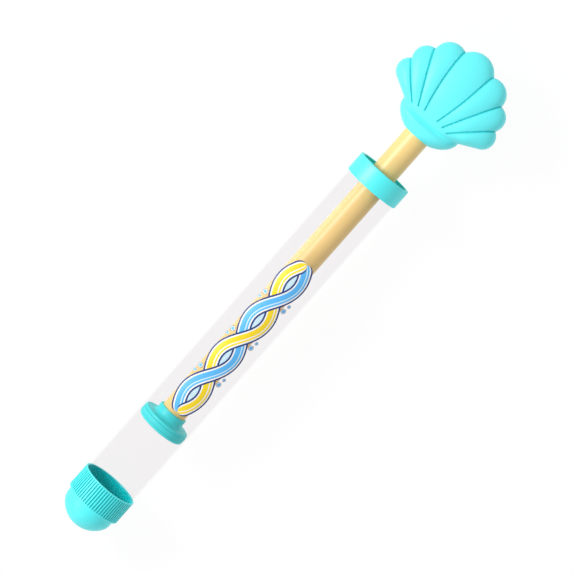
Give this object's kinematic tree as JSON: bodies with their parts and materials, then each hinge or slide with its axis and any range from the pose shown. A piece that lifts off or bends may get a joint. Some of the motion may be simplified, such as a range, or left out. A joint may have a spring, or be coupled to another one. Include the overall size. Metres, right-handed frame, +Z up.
{
  "type": "water squirter",
  "caption": "Syringe-style water squirter: clear barrel, ribbed domed nozzle cap, end collar, and a sliding plunger with a sealed piston and a scallop shell handle.",
  "frame": {"origin": "centre of the footprint, on the surface that the squirter lies on", "axes": "+X from the nozzle to the handle, +Z up out of the shell's front face, +Y completes the frame"},
  "size_m": [0.4362, 0.086, 0.043],
  "materials": {
    "clear_tube": "clear extruded tube, glossy",
    "aqua_plastic": "moulded, satin gloss",
    "shell_plastic": "moulded, soft satin",
    "rod_plastic": "extruded beige tube, satin",
    "gasket_rubber": "milky soft gasket",
    "seal_rubber": "soft moulded band, same colour as the piston",
    "screw_steel": "plated self-tapping screws"
  },
  "bodies": {
    "barrel": {"barrel": "clear_tube", "nozzle_cap": "aqua_plastic", "cap_gasket": "gasket_rubber", "end_collar": "aqua_plastic"},
    "seal": {"piston_seal": "seal_rubber"},
    "plunger": {"plunger_rod": "rod_plastic", "piston": "aqua_plastic", "handle_front": "shell_plastic", "handle_rear": "shell_plastic", "handle_screws": "screw_steel"}
  },
  "joints": [
    {"name": "plunger_slide", "type": "slide", "parent": "barrel", "child": "seal", "axis": [1, 0, 0], "range_m": [-0.0346, 0.2136]},
    {"name": "plunger_spin", "type": "hinge", "parent": "seal", "child": "plunger", "pos_m": [0, 0, 0.0215], "axis": [1, 0, 0], "continuous": true}
  ]
}
